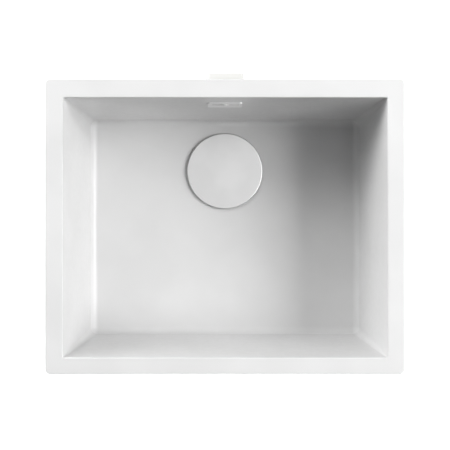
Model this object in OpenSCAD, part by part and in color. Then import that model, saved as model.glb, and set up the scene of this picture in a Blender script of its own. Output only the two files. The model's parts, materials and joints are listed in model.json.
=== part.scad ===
/* Single-bowl ceramic kitchen sink for mounting under a worktop, with its basket-strainer waste and its
   overflow. Millimetres. The origin is the centre of the rim's outline, in the plane of its top face.
   +X is to the right, +Y to the back, where the overflow is, and +Z up. */

/* [Rim] */
// Width of the rim, left to right
rim_w = 560; // [500:5:640]
// Depth of the rim, front to back
rim_d = 460; // [420:5:520]
// Thickness of the rim
rim_t = 14; // [12:1:20]
// Radius of the rim's corners
rim_corner_r = 8; // [5:1:20]
// Round along the rim's upper outside edge
rim_edge_r = 2; // [1:0.5:4]
// Round along the rim's lower outside edge
rim_under_r = 1; // [0.5:0.5:3]
// Round where the rim turns down into the bowl
mouth_edge_r = 1.5; // [1:0.5:2.5]
// Width of the ledge at each side
ledge_side = 27; // [26:1:36]
// Width of the ledge at the front
ledge_front = 26; // [26:1:36]
// Width of the ledge at the back
ledge_back = 29; // [26:1:40]

/* [Bowl] */
// Depth of the bowl at the foot of its walls
bowl_depth = 200; // [170:5:230]
// Draft of the walls, in degrees
draft = 2; // [1:0.5:3]
// Thickness of the walls
wall_t = 10; // [8:1:12]
// Thickness of the floor
floor_t = 12; // [10:1:16]
// Radius of the upright corners at the mouth
mouth_corner_r = 2.5; // [1:0.5:6]
// Radius where the walls meet the floor
foot_r = 12; // [8:1:16]
// Fall of the floor from the walls to the waste
floor_fall = 2; // [1:0.5:3]
// Fillet under the rim, against the outside of the walls
root_r = 3; // [2:0.5:4]

/* [Waste opening] */
// From the foot of the back wall to the axis of the waste
waste_back = 92; // [90:1:140]
// Hole through the floor
waste_hole_d = 90; // [88:1:92]
// Room between the strainer cup's flange and the seat sunk for it in the floor
seat_room = 1; // [0.5:0.5:3]
// Depth of that seat
seat_depth = 4.5; // [3.5:0.5:6]
// Width of the level ring of floor round the seat
sump_ring = 9; // [8:1:10]
// Pad below the floor that the waste body seals against
pad_d = 140; // [130:1:150]
// Drop of that pad below the floor's underside
pad_drop = 4; // [3:0.5:8]

/* [Rim inserts] */
// Outside of a threaded insert
insert_d = 8; // [7:0.5:9]
// Tapping diameter of its thread
insert_bore_d = 4.2; // [3.3:0.1:5]
// Length of an insert
insert_len = 9; // [7:0.5:10]
// From the rim's outside edge to an insert's axis
insert_inset = 8; // [7:0.5:9]
// Distance between the two inserts at the front, and at the back
insert_span_x = 300; // [200:10:400]
// Distance between the two inserts at each side
insert_span_y = 230; // [160:10:300]

/* [Strainer cup] */
// Outside of the cup's flange
flange_d = 114; // [110:1:114]
// Outside of the cup below its flange
cup_d = 84.4; // [82:0.2:86]
// Depth inside the cup, below the top of its flange
cup_depth = 34; // [30:1:40]
// Thickness of its steel sheet
cup_sheet = 1.2; // [0.8:0.1:1.5]
// How far the seal's cone rises past the seal
cone_lip = 1; // [0.5:0.5:3]
// Bend between the flange and the wall, on the wet side
cup_bend_r = 3; // [2:0.5:4]
// Openings in the bottom of the cup
cup_openings = 6; // [4:1:8]
// Width of the ribs between them
cup_rib_w = 4.5; // [3:0.5:6]
// Gasket under the flange
cup_gasket_t = 1.5; // [1:0.25:2]

/* [Basket] */
// Room between the basket's rim and the cup's wall
basket_room = 0.8; // [0.5:0.1:1.5]
// Width of the basket's rim
basket_rim_w = 2; // [1.5:0.25:3]
// How far the basket's wall leans in, from its rim to its bottom
basket_lean = 3.2; // [2:0.2:5]
// Bend between the basket's wall and its bottom, on the wet side
basket_bend_r = 3; // [2:0.5:4]
// Thickness of its steel sheet
basket_sheet = 1; // [0.6:0.1:1.2]
// From the top of the cup's flange down to the basket's rim
basket_sunk = 3.2; // [2:0.2:5]
// From the bottom of the cup up to the bottom of the basket, closed
basket_stand = 7; // [6.5:0.5:8]
// Straining holes in one row
hole_count = 28; // [16:2:32]
// Rows of straining holes
hole_rows = 4; // [2:1:4]
// Diameter of a straining hole
hole_d = 3; // [2:0.2:3.6]
// Thickness of the rubber seal under the basket
seal_t = 2.5; // [2:0.25:3]
// Diameter of the knob's head
knob_d = 20; // [18:1:24]
// Thickness of the knob's head
knob_head_t = 5; // [4:0.5:6]
// Diameter of the knob's post
knob_post_d = 9; // [8:0.5:11]

/* [Drain cover] */
// How far the cover reaches past the level ring of floor
cover_reach = 2.5; // [2:0.5:6]
// Height of its pressed edge
cover_h = 4.5; // [4:0.5:6]
// Thickness of its sheet
cover_sheet = 1.5; // [1:0.1:2]
// Round along its upper edge
cover_edge_r = 2; // [1.5:0.5:3]
// Gap between the level ring of floor and the cover's edge
cover_gap = 3; // [2:0.5:5]
// Thickness of the carrier's arms
arm_t = 2.5; // [2:0.25:3]
// Width of the carrier's arms
arm_w = 7; // [6:0.5:9]
// Diameter of a foot
foot_pad_d = 8; // [7:0.5:9]

/* [Waste body] */
// Outside of the body's flange
body_flange_d = 110; // [106:1:116]
// Thickness of that flange
body_flange_t = 4; // [3:0.5:6]
// Inside of the body's chamber
chamber_d = 90; // [89:1:94]
// Thickness of the body's walls
body_wall = 3; // [2.5:0.25:4]
// Height of the chamber's straight part
chamber_h = 40; // [38:1:50]
// Height of the funnel below it
funnel_h = 16; // [14:1:24]
// Outside of the outlet's thread
outlet_d = 47.8; // [47.8:0.1:59.6]
// Length of the outlet
outlet_len = 28; // [22:1:40]
// Gasket between the pad and the body
waste_gasket_t = 3; // [2:0.5:4]
// Diameter of the clamp screw
clamp_d = 6; // [5:1:8]
// Diameter of the clamp screw's head
clamp_head_d = 12; // [11:0.5:13]
// Height of the clamp screw's head
clamp_head_h = 3.5; // [3:0.25:3.75]

/* [Overflow] */
// Depth of the overflow's centre below the rim
overflow_depth = 50; // [45:1:70]
// Width of the trim
trim_w = 56; // [54:1:64]
// Height of the trim
trim_h = 30; // [28:1:36]
// Thickness of the trim
trim_t = 2.2; // [1.5:0.1:3]
// Corner radius of the trim
trim_r = 4; // [2:0.5:6]
// Width of the slot through the wall
slot_w = 48; // [44:1:50]
// Height of the slot through the wall
slot_h = 14; // [12:1:15]
// Width of the post between the two windows
post_w = 10; // [9:0.5:12]
// Height of the windows
window_h = 7; // [6:0.5:9]
// Height of the windows' centre above the trim's centre
window_rise = 6; // [4:0.5:7]
// Gasket between the wall and the elbow
overflow_gasket_t = 3; // [2:0.5:4]
// Width of the elbow's flange
elbow_flange_w = 68; // [64:1:76]
// Height of the elbow's flange
elbow_flange_h = 42; // [41:1:44]
// Depth of the elbow, behind its gasket
elbow_depth = 34; // [34:1:42]
// Thickness of the elbow's walls
elbow_wall = 2; // [1.5:0.25:2.5]
// Length of the elbow's spigot
spigot_len = 22; // [18:1:30]

/* [Overflow hose] */
// Outside of the threads that the union nuts turn on
union_d = 26.4; // [26:0.2:28]
// Outside of a union nut
nut_d = 34; // [33:0.5:36]
// Length of thread that a union nut covers
nut_grip = 8; // [7:0.5:9]
// Thickness of a union nut's end
nut_end_t = 2.5; // [2:0.25:3]
// Outside of the hose, over its ribs
hose_d = 26; // [25:0.2:26]
// Outside of the hose, between its ribs
hose_root_d = 22; // [21.4:0.2:22.4]
// Bore of the hose
hose_bore_d = 19; // [17:0.5:19.5]
// Length of one rib
rib_pitch = 4; // [3.5:0.25:6]
// Thickness of the hose's end seals
seal_washer_t = 2; // [1.5:0.25:3]

/* [Hidden] */

$fn = 64;
// Sides of a round that is blended into a hull
hull_fn = 48;
// A cut runs this far past the face that it opens
over = 1;
// Thickness of a slab that only marks one level of a hull
level = 0.01;
// Room between a sliding piece and its seat, at rest
seat_gap = 0.3;
// Room between a screw or a plug and its hole
fit_gap = 0.1;

// Half width of the mouth, and the mouth's front and back, in the plane of the rim
mouth_x = rim_w / 2 - ledge_side;
mouth_front = -rim_d / 2 + ledge_front;
mouth_back = rim_d / 2 - ledge_back;

// How far a wall leans in at a depth
function lean(depth) = depth * tan(draft);

// Levels
z_floor = -bowl_depth;
z_sump = z_floor - floor_fall;
z_seat = z_sump - seat_depth;
z_under = z_floor - floor_t;
z_pad = z_under - pad_drop;
waste_y = mouth_back - lean(bowl_depth) - waste_back;
seat_d = flange_d + 2 * seat_room;
sump_r = seat_d / 2 + sump_ring;

// Strainer cup
z_flange = z_seat + cup_gasket_t + cup_sheet;
z_cup = z_flange - cup_depth;
cup_r = cup_d / 2 - cup_sheet;
cone_h = basket_stand + cone_lip;
cone_r = cup_r - cone_h;

// Basket, closed
z_basket = z_cup + basket_stand;
z_basket_rim = z_flange - basket_sunk;
basket_r = cup_r - basket_room;
basket_foot_r = basket_r - basket_rim_w - basket_lean;
z_knob = z_sump - 1;
rivet_d = 3;
rivet_head_d = 7;
rivet_head_h = 0.8;
rivet_grip = 6;
clip_t = 2;

// Cover
z_cover_edge = z_sump + cover_gap;
z_cover_top = z_cover_edge + cover_h;
z_cover_in = z_cover_top - cover_sheet;
cover_r = sump_r + cover_reach;
hub_r = knob_d / 2 + 4;
hub_socket = 2;
z_hub = z_knob + seat_gap - hub_socket;
foot_ring_r = seat_d / 2 + sump_ring / 2;
foot_pad_h = 2.5;
foot_stem_d = 4;
foot_stem_h = 2;

// Waste body
z_body = z_pad - waste_gasket_t;
z_chamber = z_body - chamber_h;
z_outlet = z_chamber - funnel_h;
z_outlet_end = z_outlet - outlet_len;
nut_room = 1;
port_z = z_body - body_flange_t - nut_d / 2 - nut_room;
port_reach = chamber_d / 2 + body_wall + nut_room + nut_grip + 1;
port_end_y = waste_y + port_reach;
clamp_boss_d = 2 * clamp_d + 4;
clamp_boss_h = clamp_d + 6;
z_clamp_boss = z_outlet - 2;
clamp_nut_h = 0.8 * clamp_d;

// Overflow, in the back wall's own frame: x to the right, y up the wall and z out of it into the bowl
back_elbow = wall_t + overflow_gasket_t;
spigot_back = back_elbow + elbow_depth / 2;
elbow_h = elbow_flange_h - 8;
elbow_w = elbow_flange_w - 8;
spigot_end = -elbow_h / 2 - spigot_len;
screw_d = 4;
screw_head_d = 7.6;
screw_head_t = 2.4;
insert_boss_d = screw_d + 7;
collar_t = 1.5;
collar_len = 6;

// A point of the back wall's frame, as [y, z] of the part: up the wall, and out of it into the bowl
function on_wall(up, out) = [
    mouth_back - lean(overflow_depth) + up * sin(draft) - out * cos(draft),
    -overflow_depth + up * cos(draft) + out * sin(draft)
];

// The hose lies in the plane x = 0. It runs down the wall, turns by bend_deg and runs forward into the
// port, straight for its own diameter before it gets there.
collar_w = 2;
neck_len = nut_end_t + 1;
hose_start = on_wall(spigot_end - seal_washer_t, -spigot_back);
hose_end_y = port_end_y + seal_washer_t;
bend_deg = 90 - draft;
bend_reach = hose_start[0] - (hose_start[1] - port_z) * tan(draft) - hose_end_y - hose_d;
hose_bend_r = bend_reach / tan(bend_deg / 2);
hose_fall = (hose_start[1] - port_z) / cos(draft) - bend_reach;
hose_turn = hose_bend_r * bend_deg * PI / 180;
hose_len = hose_fall + hose_turn + hose_d;
rib_count = floor((hose_len - 2 * (collar_w + neck_len)) / rib_pitch);
rib_len = (hose_len - 2 * (collar_w + neck_len)) / rib_count;
hose_sides = 8;
bore_steps = 24;

// Points of an arc round [x, y], from one angle to another
function arc(x, y, r, from, to, steps = 8) = [
    for (i = [0:steps]) let (a = from + (to - from) * i / steps) [x + r * cos(a), y + r * sin(a)]
];

// A rectangle with round corners, centred
module rounded_outline(w, h, r) {
    square([w - 2 * r, h], center = true);
    square([w, h - 2 * r], center = true);
    for (x = [-1, 1], y = [-1, 1])
        translate([x * (w / 2 - r), y * (h / 2 - r)]) circle(r);
}

// Puts children in the back wall's frame, at the overflow's centre
module at_back_wall() {
    translate([0, mouth_back - lean(overflow_depth), -overflow_depth])
        rotate([90 - draft, 0, 0]) children();
}

// Puts children on the axis of the waste
module at_waste() {
    translate([0, waste_y, 0]) children();
}

// A turned piece on the axis of the waste, from its half profile
module turned(profile) {
    at_waste() rotate_extrude() polygon(profile);
}

// Four drafted walls as one solid form. grow is added to the bowl's inside, bottom is the form's lowest
// level, and top is the level where it ends.
module bowl_form(grow, bottom, top) {
    foot = foot_r + grow;
    side = grow / cos(draft);
    z_foot = bottom + foot;
    corner = mouth_corner_r + grow;
    hull() for (x = [-1, 1], back = [false, true]) {
        wall_y = back ? mouth_back : mouth_front;
        y = back ? 1 : -1;
        out = side + lean(top) - corner;
        foot_out = side + lean(z_foot) - foot;
        translate([x * (mouth_x + out), wall_y + y * out, top])
            cylinder(r = corner, h = level, $fn = hull_fn);
        translate([x * (mouth_x + foot_out), wall_y + y * foot_out, z_foot])
            rotate_extrude($fn = hull_fn) intersection() {
                circle(foot, $fn = hull_fn);
                translate([0, -foot]) square([foot, foot]);
            }
    }
}

// The rim as a plate with a round upper edge
module rim_plate() {
    hull() for (a = [0:22.5:90]) {
        rim_slab(rim_edge_r * (1 - cos(a)), rim_edge_r * (sin(a) - 1) - level);
        rim_slab(rim_under_r * (1 - cos(a)), -rim_t + rim_under_r * (1 - sin(a)));
    }
}

// One level of the rim's outline, drawn in by an inset
module rim_slab(inset, z) {
    translate([0, 0, z]) linear_extrude(level)
        rounded_outline(rim_w - 2 * inset, rim_d - 2 * inset, rim_corner_r - inset, $fn = hull_fn);
}

// The flare where the rim turns down into the bowl, as two slopes
module mouth_flare() {
    for (step = [0, 1]) hull() for (a = [45 * step, 45 * step + 45]) {
        drop = mouth_edge_r * (1 - sin(a));
        flare = mouth_edge_r * (1 - cos(a)) - lean(drop);
        mouth_slab(flare, a == 90 ? level : -drop);
    }
}

// One level of the bowl's mouth, widened by a flare
module mouth_slab(flare, z) {
    r = mouth_corner_r + flare;
    for (x = [-1, 1], y = [mouth_front - flare + r, mouth_back + flare - r])
        translate([x * (mouth_x + flare - r), y, z]) cylinder(r = r, h = level, $fn = hull_fn);
}

// The sloped fillet between the rim's underside and the walls
module rim_root() {
    hull() for (step = [0, 1]) {
        grow = wall_t / cos(draft) + root_r * (1 - step);
        depth = rim_t + root_r * step;
        corner = mouth_corner_r + wall_t;
        for (x = [-1, 1], back = [false, true]) {
            wall_y = back ? mouth_back : mouth_front;
            y = back ? 1 : -1;
            out = grow - lean(depth) - corner;
            translate([x * (mouth_x + out), wall_y + y * out, -depth])
                cylinder(r = corner, h = level + (1 - step), $fn = hull_fn);
        }
    }
}

// The shallow fall of the floor, from the foot of the walls to the level ring round the waste
module floor_sink() {
    foot_x = mouth_x + lean(z_floor + foot_r) - foot_r;
    front = mouth_front - lean(z_floor + foot_r) + foot_r;
    back = mouth_back + lean(z_floor + foot_r) - foot_r;
    hull() {
        translate([-foot_x, front, z_floor]) cube([2 * foot_x, back - front, over]);
        at_waste() translate([0, 0, z_sump]) cylinder(r = sump_r, h = level, $fn = hull_fn);
    }
}

// Where the threaded inserts stand: two at the front, two at the back and two at each side
module at_inserts() {
    for (x = [-1, 1], y = [-1, 1]) {
        translate([x * insert_span_x / 2, y * (rim_d / 2 - insert_inset), -rim_t]) children();
        translate([x * (rim_w / 2 - insert_inset), y * insert_span_y / 2, -rim_t]) children();
    }
}

module basin() {
    color("#f4f4f1") difference() {
        union() {
            rim_plate();
            bowl_form(wall_t, z_under, -rim_t / 2);
            rim_root();
            at_waste() translate([0, 0, z_pad]) cylinder(d = pad_d, h = pad_drop + 1);
        }
        bowl_form(0, z_floor, over);
        mouth_flare();
        floor_sink();
        at_waste() {
            translate([0, 0, z_seat]) cylinder(d = seat_d, h = seat_depth + over);
            translate([0, 0, z_pad - over]) cylinder(d = waste_hole_d, h = z_seat - z_pad + 2 * over);
        }
        at_back_wall() translate([0, window_rise, -wall_t - 2 * over])
            linear_extrude(wall_t + 4 * over) rounded_outline(slot_w, slot_h, 3);
        at_inserts() translate([0, 0, -over]) cylinder(d = insert_d + 2 * fit_gap, h = insert_len + over);
    }
}

module rim_inserts() {
    color("#c9a24a") at_inserts() difference() {
        cylinder(d = insert_d, h = insert_len);
        translate([0, 0, -over]) cylinder(d = insert_bore_d, h = insert_len + 2 * over);
    }
}

// The deep-drawn steel cup: a flange, a round bend, a straight wall, the seal's cone and a slotted bottom
module strainer_cup() {
    bend = cup_bend_r;
    inside = concat(
        arc(cup_r + bend, z_flange - bend, bend, 90, 180),
        [[cup_r, z_cup + cone_h], [cone_r, z_cup], [0, z_cup]]
    );
    outside = concat(
        [[0, z_cup - cup_sheet], [cone_r + cup_sheet / 2, z_cup - cup_sheet]],
        [[cup_r + cup_sheet, z_cup + cone_h - cup_sheet / 2]],
        arc(cup_r + bend, z_flange - bend, bend - cup_sheet, 180, 90),
        [[flange_d / 2, z_flange - cup_sheet], [flange_d / 2, z_flange]]
    );
    height = cup_sheet + 2 * over;
    color("#c6c8c8") difference() {
        turned(concat(inside, outside));
        at_waste() translate([0, 0, z_cup - cup_sheet - over]) {
            cylinder(d = clamp_d + 4 * fit_gap, h = height);
            difference() {
                cylinder(r = cone_r - 3, h = height);
                cylinder(d = clamp_head_d + 8, h = height);
                for (i = [0:cup_openings - 1]) rotate(i * 360 / cup_openings)
                    translate([0, -cup_rib_w / 2, 0]) cube([cone_r, cup_rib_w, height]);
            }
        }
    }
}

// A flat ring on the axis of the waste
module waste_ring(d_out, d_in, z, t) {
    at_waste() translate([0, 0, z]) difference() {
        cylinder(d = d_out, h = t);
        translate([0, 0, -over]) cylinder(d = d_in, h = t + 2 * over);
    }
}

module cup_gasket() {
    color("#2b2b2b") waste_ring(flange_d - 2, waste_hole_d + 2, z_seat, cup_gasket_t);
}

module waste_gasket() {
    color("#2b2b2b") waste_ring(body_flange_d - 2, waste_hole_d + 4, z_body, waste_gasket_t);
}

// The moulded lower half: flange, chamber, funnel, threaded outlet, side port and the nut's cross
module waste_body() {
    chamber_r = chamber_d / 2;
    outlet_r = outlet_d / 2;
    bore_r = outlet_r - body_wall - 1;
    shell = [
        [chamber_r, z_body], [body_flange_d / 2, z_body], [body_flange_d / 2, z_body - body_flange_t],
        [chamber_r + body_wall, z_body - body_flange_t], [chamber_r + body_wall, z_chamber],
        [outlet_r, z_outlet], [outlet_r, z_outlet_end], [bore_r, z_outlet_end],
        [bore_r, z_outlet + body_wall / 2], [chamber_r, z_chamber + body_wall / 2]
    ];
    color("#4a4c4e") difference() {
        union() {
            turned(shell);
            body_gussets();
            clamp_cross();
            port_tube(union_d, chamber_r + 0.3, 0);
        }
        port_tube(union_d - 2 * body_wall - 1, chamber_r - 3, over);
        at_waste() translate([0, 0, z_clamp_boss - over]) {
            cylinder(d = clamp_d + 4 * fit_gap, h = clamp_boss_h + 2 * over);
            cylinder(d = 1.8 * clamp_d + 4 * fit_gap, h = clamp_nut_h + 2 * over, $fn = 6);
        }
    }
}

// The side port, from a distance off the body's axis to its threaded end, and further for a cut
module port_tube(d, from, past) {
    at_waste() translate([0, from, port_z]) rotate([-90, 0, 0])
        cylinder(d = d, h = port_end_y - waste_y - from + past);
}

// Ribs that stiffen the flange
module body_gussets() {
    r = chamber_d / 2 + body_wall;
    reach = body_flange_d / 2 - r - 0.5;
    for (i = [0:11]) if (i != 3) at_waste() rotate(i * 30)
        translate([r - 0.5, 1.2, z_body - body_flange_t + 0.5]) rotate([90, 0, 0]) linear_extrude(2.4)
            polygon([[0, 0], [reach + 0.5, 0], [0, -14]]);
}

// Four ribs and the boss in the middle of the outlet's mouth
module clamp_cross() {
    span = chamber_d - 6;
    at_waste() {
        translate([0, 0, z_clamp_boss]) cylinder(d = clamp_boss_d, h = clamp_boss_h);
        intersection() {
            union() for (a = [0, 90]) rotate(a)
                translate([-span / 2, -1.25, z_clamp_boss]) cube([span, 2.5, clamp_boss_h - 2]);
            rotate_extrude() polygon([
                [0, z_clamp_boss], [outlet_d / 2 - body_wall, z_clamp_boss],
                [outlet_d / 2 - body_wall, z_outlet + 1], [chamber_d / 2 + 1, z_chamber + 1],
                [chamber_d / 2 + 1, z_chamber + 6], [0, z_chamber + 6]
            ]);
        }
    }
}

module clamp_screw() {
    end = z_clamp_boss - 1;
    color("#b9bbbb") at_waste() difference() {
        union() {
            translate([0, 0, z_cup]) cylinder(d = clamp_head_d, h = clamp_head_h);
            translate([0, 0, end]) cylinder(d = clamp_d, h = z_cup - end + 0.5);
        }
        translate([0, 0, z_cup + clamp_head_h - 2]) cylinder(d = 0.95 * clamp_d, h = 2 + over, $fn = 6);
    }
}

module clamp_nut() {
    color("#c9a24a") at_waste() translate([0, 0, z_clamp_boss + over]) difference() {
        cylinder(d = 1.8 * clamp_d, h = clamp_nut_h, $fn = 6);
        translate([0, 0, -over]) cylinder(d = clamp_d + 2 * fit_gap, h = clamp_nut_h + 2 * over);
    }
}

// The outline of the trim's two windows, either side of the screw's post
module windows(height) {
    half = (slot_w - 2 * collar_t - post_w) / 2;
    for (x = [-1, 1]) translate([x * (post_w + half) / 2, 0]) rounded_outline(half, height, 1.5);
}

module overflow_trim() {
    color("#d3d5d5") at_back_wall() difference() {
        union() {
            linear_extrude(trim_t) rounded_outline(trim_w, trim_h, trim_r);
            translate([0, window_rise, -collar_len]) linear_extrude(collar_len + trim_t / 2)
                rounded_outline(slot_w - 2 * fit_gap, slot_h - 2 * fit_gap, 3 - fit_gap);
        }
        translate([0, window_rise, -collar_len - over]) {
            linear_extrude(collar_len + trim_t + 2 * over) windows(window_h);
            linear_extrude(collar_len + over) windows(slot_h - 2 * collar_t);
            cylinder(d = screw_d + 4 * fit_gap, h = collar_len + trim_t + 2 * over);
        }
        translate([0, window_rise, trim_t - screw_head_t / 2])
            cylinder(d = screw_head_d + 2 * fit_gap, h = over + 1);
    }
}

module overflow_screw() {
    reach = back_elbow + elbow_depth - elbow_wall - 6;
    head_z = trim_t - screw_head_t / 2;
    color("#b9bbbb") at_back_wall() translate([0, window_rise, 0]) difference() {
        union() {
            translate([0, 0, -reach]) cylinder(d = screw_d, h = reach + head_z + 0.5);
            translate([0, 0, head_z]) cylinder(d = screw_head_d, h = screw_head_t);
        }
        translate([0, 0, head_z + 0.8]) for (a = [0, 90]) rotate(a)
            translate([-2.2, -0.5, 0]) cube([4.4, 1, screw_head_t]);
    }
}

module overflow_gasket() {
    color("#2b2b2b") at_back_wall() translate([0, 0, -back_elbow])
        linear_extrude(overflow_gasket_t) difference() {
            rounded_outline(elbow_flange_w - 2, elbow_flange_h - 2, 4);
            translate([0, window_rise]) rounded_outline(slot_w + 1, slot_h + 1, 3);
        }
}

// The moulded box behind the wall: it takes the water from the slot and turns it down into the hose
module overflow_elbow() {
    inner_w = elbow_w - 2 * elbow_wall;
    inner_h = elbow_h - 2 * elbow_wall;
    color("#dcdedd") at_back_wall() difference() {
        union() {
            translate([0, 0, -back_elbow - 3]) linear_extrude(3)
                rounded_outline(elbow_flange_w, elbow_flange_h, 4);
            difference() {
                translate([0, 0, -back_elbow - elbow_depth]) linear_extrude(elbow_depth)
                    rounded_outline(elbow_w, elbow_h, 6);
                translate([0, 0, -back_elbow - elbow_depth + elbow_wall]) linear_extrude(elbow_depth)
                    rounded_outline(inner_w, inner_h, 6 - elbow_wall);
            }
            translate([0, window_rise, -back_elbow - elbow_depth + 1])
                cylinder(d = insert_boss_d, h = elbow_depth - 1 - 4);
            spigot(union_d, -elbow_h / 2 + elbow_wall);
        }
        translate([0, 0, -back_elbow - 3]) linear_extrude(3 + over)
            rounded_outline(inner_w, inner_h, 6 - elbow_wall);
        spigot(hose_bore_d, -elbow_h / 2 + elbow_wall + over, over);
        translate([0, window_rise, -back_elbow - elbow_depth + elbow_wall + 2])
            cylinder(d = screw_d + 3 + 2 * fit_gap, h = elbow_depth);
    }
}

// The elbow's spigot, down the wall from a height to its threaded end, and further for a cut
module spigot(d, top, past = 0) {
    translate([0, spigot_end - past, -spigot_back]) rotate([-90, 0, 0])
        cylinder(d = d, h = top - spigot_end + past);
}

module elbow_insert() {
    length = 12;
    color("#c9a24a") at_back_wall()
        translate([0, window_rise, -back_elbow - elbow_depth + elbow_wall + 2]) difference() {
            cylinder(d = screw_d + 3, h = length);
            translate([0, 0, 1]) cylinder(d = screw_d + 2 * fit_gap, h = length);
        }
}

// The hose's middle at a length along it, as [y, z]
function hose_at(s) =
    s <= hose_fall ? hose_start - s * [sin(draft), cos(draft)]
    : s <= hose_fall + hose_turn
    ? let (
        a = (s - hose_fall) / hose_turn * bend_deg + draft,
        start = hose_start - hose_fall * [sin(draft), cos(draft)],
        centre = start - hose_bend_r * [cos(draft), -sin(draft)]
    ) centre + hose_bend_r * [cos(a), -sin(a)]
    : [hose_end_y + hose_len - s, port_z];

// The angle that the hose has turned through there, from straight down
function hose_angle(s) = draft + bend_deg * min(1, max(0, (s - hose_fall) / hose_turn));

// A ring of points round the hose at a length along it
function hose_ring(s, r) = let (c = hose_at(s), a = hose_angle(s)) [
    for (i = [0:hose_sides - 1])
        let (t = (i + 0.5) * 360 / hose_sides)
            [r * cos(t), c[0] + r * sin(t) * cos(a), c[1] - r * sin(t) * sin(a)]
];

// [length along the hose, radius] of each ring: end collar, neck, ribs, neck, end collar, then the bore
hose_profile = let (
    collar = union_d / 2 - 0.6,
    root = hose_root_d / 2,
    crest = hose_d / 2,
    first = collar_w + neck_len
) concat(
    [[0, collar], [collar_w, collar], [collar_w, root], [first, root]],
    [for (i = [0:rib_count - 1], half = [1, 2])
        [first + (i + half / 2) * rib_len, half == 1 ? crest : root]],
    [[hose_len - collar_w, root], [hose_len - collar_w, collar], [hose_len, collar]],
    [for (i = [bore_steps:-1:0]) [hose_len * i / bore_steps, hose_bore_d / 2]]
);

module overflow_hose() {
    rings = [for (p = hose_profile) hose_ring(p[0], p[1])];
    n = len(rings);
    points = [for (ring = rings, p = ring) p];
    faces = [for (i = [0:n - 1], k = [0:hose_sides - 1])
        let (
            j = (i + 1) % n,
            m = (k + 1) % hose_sides,
            a = i * hose_sides + k,
            b = i * hose_sides + m,
            c = j * hose_sides + m,
            d = j * hose_sides + k
        ) each [[a, b, c], [a, c, d]]
    ];
    color("#dcdedd") polyhedron(points, faces);
}

// Puts children at each end of the hose: the seal's side is z = 0 and the hose runs to +z
module at_hose_ends() {
    at_back_wall() translate([0, spigot_end, -spigot_back]) rotate([90, 0, 0]) children();
    translate([0, port_end_y, port_z]) rotate([-90, 0, 0]) children();
}

module hose_nuts() {
    length = nut_grip + seal_washer_t + collar_w + nut_end_t + 2 * fit_gap;
    color("#4a4c4e") at_hose_ends() translate([0, 0, -nut_grip]) difference() {
        union() {
            cylinder(d = nut_d - 3, h = length);
            for (i = [0:11]) rotate(i * 30) translate([nut_d / 2 - 3, -1.5, 0]) cube([3, 3, length - 1]);
        }
        translate([0, 0, -over]) cylinder(d = union_d + 2 * fit_gap, h = length - nut_end_t + over);
        cylinder(d = hose_root_d + 6 * fit_gap, h = length + over);
    }
}

module hose_seals() {
    color("#2b2b2b") at_hose_ends() difference() {
        cylinder(d = union_d - 1, h = seal_washer_t);
        translate([0, 0, -over]) cylinder(d = hose_bore_d, h = seal_washer_t + 2 * over);
    }
}

// The pressed basket: a curled rim, a leaning wall with rows of holes and a plain bottom
module strainer_basket() {
    t = basket_sheet;
    bend = basket_bend_r;
    wall_r = basket_r - basket_rim_w;
    bend_x = basket_foot_r - bend - t;
    profile = concat(
        [[0, z_basket + t]],
        arc(bend_x, z_basket + bend + t, bend, -90, -10, 4),
        arc(wall_r + 0.3, z_basket_rim - 1.3, 1.3, 180, 90, 4),
        arc(basket_r - 0.8, z_basket_rim - 0.8, 0.8, 90, -90, 4),
        [[wall_r, z_basket_rim - 1.6]],
        arc(bend_x, z_basket + bend + t, bend + t, -10, -90, 4),
        [[0, z_basket]]
    );
    low = z_basket + bend + t + hole_d;
    row = (z_basket_rim - 2 - hole_d - low) / (hole_rows - 1);
    color("#c6c8c8") difference() {
        turned(profile);
        at_waste() {
            translate([0, 0, z_basket - over]) cylinder(d = rivet_d + 2 * fit_gap, h = t + 2 * over);
            for (j = [0:hole_rows - 1], i = [0:hole_count - 1])
                rotate((i + (j % 2) / 2) * 360 / hole_count)
                    translate([basket_foot_r - 4, 0, low + j * row]) rotate([0, 90, 0])
                        cylinder(d = hole_d, h = basket_lean + 8, $fn = 16);
        }
    }
}

// The rubber ring under the basket: its edge is parallel to the cup's cone
module basket_seal() {
    z = z_basket - seal_t;
    edge = cone_r + (z - z_cup) - seat_gap * sqrt(2);
    inner = clamp_head_d / 2 + 2 * seat_gap + clip_t + 3;
    color("#2b2b2b") turned([
        [inner, z], [edge, z], [edge + seal_t, z_basket], [inner, z_basket]
    ]);
}

module basket_knob() {
    post = knob_post_d / 2;
    head = knob_d / 2;
    z = z_basket + basket_sheet;
    under = z_knob - knob_head_t;
    color("#c6c8c8") difference() {
        turned(concat(
            [[0, z], [post + 4, z], [post + 4, z + 1], [post, z + 4], [post, under - 2], [head - 2, under]],
            arc(head - 1, under + 1, 1, -90, 0, 4),
            arc(head - 1.5, z_knob - 1.5, 1.5, 0, 90, 4),
            [[0, z_knob]]
        ));
        at_waste() translate([0, 0, z - over])
            cylinder(d = rivet_d + 2 * fit_gap, h = rivet_grip + 2 + over);
    }
}

// The sleeve that snaps over the clamp screw's head
module basket_clip() {
    base = z_basket - clip_t;
    foot = z_cup + 1;
    sleeve = clamp_head_d / 2 + 2 * seat_gap;
    outer = sleeve + clip_t;
    color("#e4e5e4") difference() {
        turned([
            [0, base], [sleeve, base], [sleeve, foot], [outer, foot], [outer, z_basket], [0, z_basket]
        ]);
        at_waste() {
            translate([0, 0, base - over]) cylinder(d = rivet_d + 2 * fit_gap, h = clip_t + 2 * over);
            for (i = [0:2]) rotate(30 + i * 120)
                translate([sleeve - over, -1, z_cup]) cube([clip_t + 2 * over, 2, base - z_cup]);
        }
    }
}

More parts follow.
